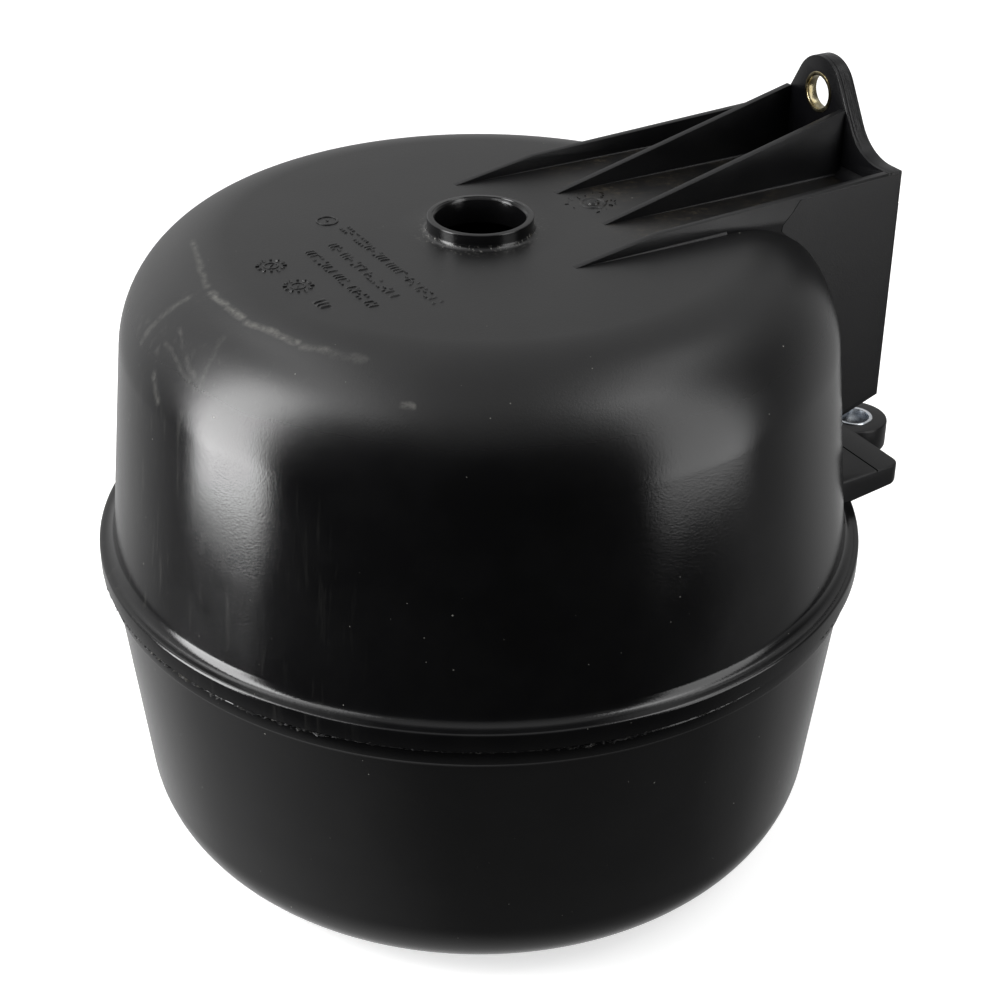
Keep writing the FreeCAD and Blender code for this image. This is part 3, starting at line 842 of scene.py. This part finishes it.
def makeSleeve(name, node, material, slotName, along):
    low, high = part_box(node)
    length = (high[along] - low[along]) / mm
    piece = turnedPiece(name, sleeveOutline(length), sleeve["segments"])
    centre = (Vector(low) + Vector(high)) / 2
    centre[along] = low[along]
    turn = Matrix.Rotation(math.radians(90), 4, "Y") if along == 0 else Matrix.Identity(4)
    piece.matrix_world = Matrix.Translation(centre) @ turn
    return finishPiece(piece, name, material, slotName, node)


makeSleeve("upperSleeve", "upper_bush", yellowZinc, "yellow_zinc_steel", 0)
makeSleeve("lowerSleeve", "lower_bush", brightZinc, "bright_steel", 2)
print("sleeves ready")


cove = {"radius": 0.9, "sink": 0.15, "plateRadius": 3.2, "tipShare": 0.1, "outsideEnd": 62}


def coveStrip(name, start, end, side, facing):
    # a hollow-faced strip in the corner between a rib's foot and the level top, running along X
    radius, sink = cove["radius"], cove["sink"]
    outline = [(-sink, -sink), (radius, -sink), (radius, 0.02)]
    outline += [(radius - across, upward) for across, upward in
                [(radius * math.sin(math.radians(angle)), radius * (1 - math.cos(math.radians(angle))))
                 for angle in (18, 36, 54, 72)]]
    outline += [(0.02, radius), (-sink, radius)]
    placed = [(side + facing * across, tankTop + upward) for across, upward in outline]
    piece = tracedPlate(name, placed, crossPlace(start), end - start)
    # the end at the rib's tip shrinks to almost nothing
    for vertex in piece.data.vertices:
        if vertex.co.x < (start + 0.1) * mm:
            vertex.co.y = (side + (vertex.co.y / mm - side) * cove["tipShare"]) * mm
            rise = (vertex.co.z / mm - tankTop + sink) * cove["tipShare"]
            vertex.co.z = (tankTop - sink + rise) * mm
    return piece


def makeCoves():
    half = rib["thickness"] / 2
    strips = []
    for name, tip in (("outerRibRight", rib["outerTip"]), ("outerRibLeft", rib["outerTip"]),
                      ("innerRibRight", rib["innerTip"]), ("innerRibLeft", rib["innerTip"])):
        side = sides[name]
        for facing in (-1, 1):
            outside = name.startswith("outer") and facing * side > 0
            end = cove["outsideEnd"] if outside else plateFront
            strips.append(coveStrip("cove", tip, end, side + facing * half, facing))
    # the corner where the shelf's top meets the plate
    radius = cove["plateRadius"]
    walls = [sides[name] for name in ("outerRibRight", "innerRibRight", "innerRibLeft", "outerRibLeft")]
    for low, high in [(near + half, far - half) for near, far in zip(walls, walls[1:])]:
        outline = [(plateFront + 0.1, tankTop - 0.1), (plateFront + 0.1, tankTop + radius)]
        outline += [(plateFront - radius + radius * math.cos(math.radians(angle)),
                     tankTop + radius - radius * math.sin(math.radians(angle)))
                    for angle in (9, 27, 45, 63, 81)]
        outline += [(plateFront - radius, tankTop - 0.1)]
        strips.append(tracedPlate("cove", outline, uprightPlace(high), high - low))
    piece = joinPieces(strips)
    return finishPiece(piece, "ribCoves", bracketPlastic, "bracket_plastic")


makeCoves()


facePatch = {
    "thickness": 0.24, "proud": 0.1, "edge": 0.1,
    # the curved edge: X, then height above the tank's top
    "curve": ((88.6, 5.9), (87.8, 5.0), (86.8, 3.6), (85.6, 1.9), (83.9, 0.3), (82.6, -1.2), (82.2, -3.2)),
    "shoulder": (194, 191, 187, 182, 174, 164, 150, 135, 124),
}


def makeFacePatch():
    # the near gusset is a little thicker towards the plate, with a curved edge down to the shoulder
    size = facePatch
    outline = [(across, tankTop + upward) for across, upward in size["curve"]]
    reach = abs(plateRight)

    def onDome(height):
        return math.sqrt(domeSurface(height) ** 2 - reach ** 2) - 0.1

    outline += [(onDome(height), height) for height in size["shoulder"]]
    outline += [(plateBack - 0.8, rib["backHeight"] + 1.2), (plateBack - 0.8, tankTop + 7.2),
                (plateFront, tankTop + 7.2)]
    piece = tracedPlate("facePatch", outline, uprightPlace(plateRight + size["proud"]), size["thickness"])
    roundEdges(piece, size["edge"], 1, 30)
    return finishPiece(piece, "facePatch", bracketPlastic, "bracket_plastic")


makeFacePatch()
print("coves ready")


def raisedBar(across, along, wide, long, turn=0.0, high=0.32):
    # a low drafted bar standing on the tank's top; sizes in millimetres, turn in degrees
    deselectAll()
    bpy.ops.mesh.primitive_cube_add(size=mm, location=(0, 0, 0), enter_editmode=True)
    piece = bpy.context.object
    bpy.ops.transform.resize(value=(wide, long, high + 0.2))
    bpy.ops.transform.translate(value=(0, 0, (high - 0.2) / 2 * mm))
    bpy.ops.mesh.select_all(action="DESELECT")
    mesh = bmesh.from_edit_mesh(piece.data)
    for face in mesh.faces:
        face.select_set(face.normal.z > 0.9)
    bmesh.update_edit_mesh(piece.data)
    bpy.ops.transform.resize(value=(0.55, 1 - 0.3 / long, 1), center_override=(0, 0, 0))
    bpy.ops.object.mode_set(mode="OBJECT")
    piece.rotation_euler.z = math.radians(turn)
    piece.location = (across * mm, along * mm, tankTop * mm)
    return piece


def raisedRing(across, along, radius, width, high=0.3):
    outline = [(radius - width / 2, -0.15), (radius + width / 2, -0.15), (radius + width / 2, high * 0.6),
               (radius + width * 0.2, high), (radius - width * 0.2, high), (radius - width / 2, high * 0.6)]
    piece = turnedPiece("ring", outline, 40)
    piece.location = (across * mm, along * mm, tankTop * mm)
    return piece


# three rows of plain ticks and dashes that stand for moulded markings
tickRows = {
    "rows": ((-35, 20.5, -40.3), (-43.5, 11.2, -31.9), (-51.5, 9.6, -34.8)),  # X, then the row's two ends
    "pitch": 1.55, "height": 4.0, "ring": (-37.3, 27.2),
}


def makeTicks():
    bars = []
    for across, start, end in tickRows["rows"]:
        count = int((start - end) / tickRows["pitch"])
        gap = 0
        for index in range(count):
            along = start - tickRows["pitch"] * (index + 0.5)
            gap += 1
            if gap > rng.choice((4, 5, 7)):
                gap = 0
                continue
            kind = rng.random()
            tilt = rng.uniform(-8, 8)
            if kind < 0.5:
                bars.append(raisedBar(across, along, tickRows["height"], 0.75, tilt))
            elif kind < 0.75:
                for offset in (-1.25, 1.25):
                    bars.append(raisedBar(across + offset, along, 1.3, 0.8, tilt))
            else:
                bars.append(raisedBar(across + rng.choice((-1.4, 0, 1.4)), along, 0.8, 1.5, tilt))
    bars.append(raisedRing(*tickRows["ring"], 3.1, 0.6))
    bars.append(raisedBar(*tickRows["ring"], 0.9, 0.9))
    piece = joinPieces(bars)
    return finishPiece(piece, "mouldTicks", domePlastic, "black_plastic")


dials = {"places": ((-65.3, 4.9), (-64.2, -11.3)), "bars": (-63.3, -25.2), "barPitch": 1.9}


def makeDials():
    parts = []
    for across, along in dials["places"]:
        parts.append(raisedRing(across, along, 2.0, 0.5, 0.25))
        for index in range(12):
            angle = index * 30 + 8
            turn = math.radians(angle)
            reach = rng.uniform(3.7, 4.2)
            parts.append(raisedBar(across + reach * math.cos(turn), along + reach * math.sin(turn),
                                   1.5, 0.85, angle, 0.4))
        parts.append(raisedBar(across, along, 3.0, 0.6, rng.uniform(0, 90), 0.3))
    across, along = dials["bars"]
    for offset in (-dials["barPitch"], 0.0, dials["barPitch"]):
        parts.append(raisedBar(across, along + offset, rng.uniform(4.0, 5.6), 1.0,
                               rng.uniform(-12, 12), 0.45))
    piece = joinPieces(parts)
    return finishPiece(piece, "dateDials", domePlastic, "black_plastic")


gate = {"across": 40.1, "along": 1.4, "slivers": 26}


def makeGateSpot():
    # the sprue scar between the ribs: a shallow ring round a rough stub, with slivers beside it
    outline = [(0.01, -0.2), (4.3, -0.2), (4.3, 0.02), (3.9, 0.34), (3.4, 0.36), (3.0, 0.05), (2.1, 0.04),
               (1.7, 0.6), (1.1, 0.85), (0.5, 0.7), (0.01, 0.75)]
    piece = turnedPiece("gate", outline, 36)
    activate(piece)
    bpy.ops.object.mode_set(mode="EDIT")
    bpy.ops.mesh.select_all(action="SELECT")
    bpy.ops.mesh.remove_doubles(threshold=0.00003)
    bpy.ops.mesh.normals_make_consistent(inside=False)
    bpy.ops.object.mode_set(mode="OBJECT")
    for vertex in piece.data.vertices:
        if vertex.co.z > 0.1 * mm:
            vertex.co.z += rng.uniform(-0.1, 0.1) * mm
            vertex.co.x += rng.uniform(-0.12, 0.12) * mm
    piece.location = (gate["across"] * mm, gate["along"] * mm, tankTop * mm)
    parts = [piece]
    for index in range(gate["slivers"]):
        turn = math.radians(rng.uniform(0, 360))
        reach = rng.uniform(4.4, 8.6)
        parts.append(raisedBar(gate["across"] + reach * math.cos(turn),
                               gate["along"] + reach * math.sin(turn) * 1.1,
                               rng.uniform(0.6, 1.8), rng.uniform(0.14, 0.28),
                               rng.uniform(0, 180), rng.uniform(0.12, 0.36)))
    piece = joinPieces(parts)
    return finishPiece(piece, "gateSpot", domePlastic, "black_plastic")


makeTicks()
makeDials()
makeGateSpot()
print("marks ready")


def makeFloor():
    deselectAll()
    bpy.ops.mesh.primitive_plane_add(size=12, location=(0, 0, -0.0002))
    floor = bpy.context.object
    floor.name = "floor"
    material, _, _, shader = newMaterial("floorPaint")
    shader.inputs["Base Color"].default_value = (0.8, 0.8, 0.8, 1)
    shader.inputs["Roughness"].default_value = 0.9
    shader.inputs["Specular IOR Level"].default_value = 0.0
    shader.inputs["Emission Color"].default_value = (1, 1, 1, 1)
    shader.inputs["Emission Strength"].default_value = 0.62
    floor.data.materials.append(material)
    floor.visible_glossy = False
    floor.visible_diffuse = False
    floor.visible_shadow = False


makeFloor()

view = {
    "azimuth": -29.0, "elevation": 29.4, "distance": 626.4, "aimHeight": 122.1, "lens": 71.46,
    "shiftX": 0.0206, "shiftY": -0.045, "roll": 0.226,
}


def aimAt(thing, target):
    direction = Vector(target) - thing.location
    thing.rotation_euler = direction.to_track_quat("-Z", "Y").to_euler()


def polar(azimuth, elevation, distance, target=(0, 0, 0)):
    turn, lift = math.radians(azimuth), math.radians(elevation)
    offset = Vector((math.sin(turn) * math.cos(lift), -math.cos(turn) * math.cos(lift), math.sin(lift)))
    return Vector(target) + offset * distance


def makeCamera():
    target = Vector((0, 0, view["aimHeight"] * mm))
    data = bpy.data.cameras.new("camera")
    camera = bpy.data.objects.new("camera", data)
    bpy.context.scene.collection.objects.link(camera)
    camera.location = polar(view["azimuth"], view["elevation"], view["distance"] * mm, target)
    aimAt(camera, target)
    camera.rotation_euler.rotate_axis("Z", math.radians(view["roll"]))
    data.lens = view["lens"]
    data.sensor_width = 36
    data.shift_x = view["shiftX"]
    data.shift_y = view["shiftY"]
    data.clip_start = 0.01
    bpy.context.scene.camera = camera


makeCamera()


def softbox(name, azimuth, distance, middle, width, height, glow, elevation=0.0):
    # a rectangle of light facing the tank's axis at its middle height; azimuth 0 is the camera's side
    target = Vector((0, 0, middle))
    data = bpy.data.lights.new(name, "AREA")
    data.shape = "RECTANGLE"
    data.size = width
    data.size_y = height
    data.energy = glow * 4 * width * height
    light = bpy.data.objects.new(name, data)
    bpy.context.scene.collection.objects.link(light)
    light.location = polar(view["azimuth"] + azimuth, elevation, distance, target)
    aimAt(light, target)
    light.visible_camera = False
    return light


# azimuth, distance, middle height, width, height, glow and elevation; degrees and metres
softboxes = {
    "leftPanel": (-71.5, 0.48, 0.286, 0.215, 0.588, 8.4),
    "leftPanelTop": (-71.5, 0.49, 0.64, 0.24, 0.12, 3.6),
    "leftCeiling": (-92, 3.8, 0.15, 4.6, 0.9, 2.0, 60),
    "rightPanel": (62.6, 0.50, 0.443, 0.27, 0.856, 2.05),
    "rightCeiling": (92, 3.6, 0.15, 2.6, 1.0, 1.8, 57),
}
for panelName, panel in softboxes.items():
    softbox(panelName, *panel)


def worldLobe(nodes, links, direction, azimuth, elevation, low, high, strength):
    # extra light from the directions near one point of the sky
    aim = polar(view["azimuth"] + azimuth, elevation, 1)
    facing = nodes.new("ShaderNodeVectorMath")
    facing.operation = "DOT_PRODUCT"
    facing.inputs[1].default_value = aim
    links.new(direction, facing.inputs[0])
    return remap(nodes, links, facing.outputs["Value"], low, high, 0.0, strength)


def addUp(nodes, links, values):
    total = values[0]
    for value in values[1:]:
        node = nodes.new("ShaderNodeMath")
        node.operation = "ADD"
        for socket, part in zip(node.inputs, (total, value)):
            links.new(part, socket)
        total = node.outputs[0]
    return total


room = {
    # height of the direction at the two ends, then the strength there
    "ceiling": (0.45, 0.97, 0.02, 0.66), "table": (-0.5, -0.95, 0.02, 0.21),
    # azimuth and elevation, how near the direction must be at the two ends, and the strength
    "behind": (180, 2, 0.2, 1.0, 0.64), "left": (-125, 25, 0.70, 1.0, 0.7),
    "right": (104, -14, 0.80, 1.0, 0.27), "tableLeft": (-116, -58, 0.6, 0.97, 0.36),
}


def makeWorld():
    world = bpy.data.worlds.new("studio")
    bpy.context.scene.world = world
    world.use_nodes = True
    nodes, links = world.node_tree.nodes, world.node_tree.links
    nodes.clear()
    output = nodes.new("ShaderNodeOutputWorld")
    seen = nodes.new("ShaderNodeBackground")
    seen.inputs["Color"].default_value = (1, 1, 1, 1)
    seen.inputs["Strength"].default_value = 1.0
    unseen = nodes.new("ShaderNodeBackground")
    coordinates = nodes.new("ShaderNodeTexCoord")
    direction = coordinates.outputs["Generated"]
    split = nodes.new("ShaderNodeSeparateXYZ")
    links.new(direction, split.inputs[0])
    parts = [remap(nodes, links, split.outputs["Z"], *room[name]) for name in ("ceiling", "table")]
    parts += [worldLobe(nodes, links, direction, *room[name])
              for name in ("behind", "left", "right", "tableLeft")]
    links.new(addUp(nodes, links, parts), unseen.inputs["Strength"])
    paths = nodes.new("ShaderNodeLightPath")
    mix = nodes.new("ShaderNodeMixShader")
    links.new(paths.outputs["Is Camera Ray"], mix.inputs[0])
    links.new(unseen.outputs[0], mix.inputs[1])
    links.new(seen.outputs[0], mix.inputs[2])
    links.new(mix.outputs[0], output.inputs[0])


makeWorld()
bpy.context.scene.view_settings.view_transform = "Standard"
print("studio ready")
